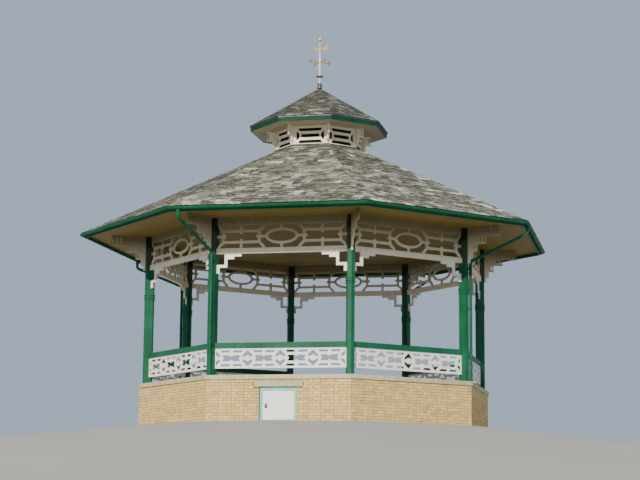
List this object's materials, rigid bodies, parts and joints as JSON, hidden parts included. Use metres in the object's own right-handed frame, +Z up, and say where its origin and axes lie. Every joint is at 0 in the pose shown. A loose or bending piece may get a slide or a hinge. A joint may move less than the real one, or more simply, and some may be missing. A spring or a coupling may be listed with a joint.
{
  "type": "bandstand",
  "caption": "Octagonal bandstand: brick plinth with a store, timber stage with fret panels, slated roof with a lantern and weathervane.",
  "frame": {"origin": "on the ground, at the centre of the octagon", "axes": "+Z up; -Y out of the front side, which has the hatch; the steps are on the +Y side"},
  "size_m": [12.5174, 12.5174, 11.522],
  "materials": {
    "brick": "buff brickwork, lime mortar",
    "stone": "sawn cream sandstone",
    "deck_boards": "weathered boards",
    "hatch_paint": "pale blue gloss paint on timber",
    "door_paint": "white gloss paint on boards",
    "green_paint": "green gloss paint on timber",
    "green_iron": "green gloss paint on cast iron",
    "white_paint": "white paint on timber",
    "cream_paint": "cream paint on timber",
    "slate": "riven grey-brown slates",
    "lead": "dull weathered lead",
    "pole_paint": "off-white painted iron",
    "gilding": "gold leaf, bright"
  },
  "bodies": {
    "bandstand": {"plinth_walls": "brick", "front_wall_left": "brick", "front_wall_right": "brick", "front_lintel": "stone", "plinth_coping": "stone", "entrance_steps": "stone", "deck": "deck_boards", "hatch_frame": "hatch_paint", "post_1": "green_paint", "post_2": "green_paint", "post_3": "green_paint", "post_4": "green_paint", "post_5": "green_paint", "post_6": "green_paint", "post_7": "green_paint", "post_8": "green_paint", "handrails": "green_paint", "fascia": "green_paint", "lantern_curb": "green_paint", "lantern_fascia": "green_paint", "gutters": "green_iron", "downpipes": "green_iron", "rainwater_offsets": "green_iron", "rail_panel_1": "white_paint", "rail_panel_2": "white_paint", "rail_panel_3": "white_paint", "rail_panel_4": "white_paint", "rail_panel_5": "white_paint", "rail_panel_6": "white_paint", "rail_panel_7": "white_paint", "beam_brackets": "white_paint", "tie_beams": "cream_paint", "frieze_1": "cream_paint", "frieze_2": "cream_paint", "frieze_3": "cream_paint", "frieze_4": "cream_paint", "frieze_5": "cream_paint", "frieze_6": "cream_paint", "frieze_7": "cream_paint", "frieze_8": "cream_paint", "eave_brackets": "cream_paint", "ceiling": "cream_paint", "lantern_walls": "cream_paint", "lantern_brackets": "cream_paint", "lantern_soffit": "cream_paint", "roof_slopes": "slate", "lantern_roof": "slate", "vane_cap": "lead", "vane_pole": "pole_paint", "vane_compass": "gilding", "vane_finial": "gilding"},
    "door": {"hatch_door": "door_paint"},
    "arrow": {"vane_arrow": "gilding"}
  },
  "joints": [
    {"name": "hatch_hinge", "type": "hinge", "parent": "bandstand", "child": "door", "pos_m": [0.4205, -4.56014, 0.4225], "axis": [0, 0, 1], "range_deg": [0, 90]},
    {"name": "arrow_spin", "type": "hinge", "parent": "bandstand", "child": "arrow", "pos_m": [0, 0, 11.1], "axis": [0, 0, 1], "continuous": true}
  ]
}
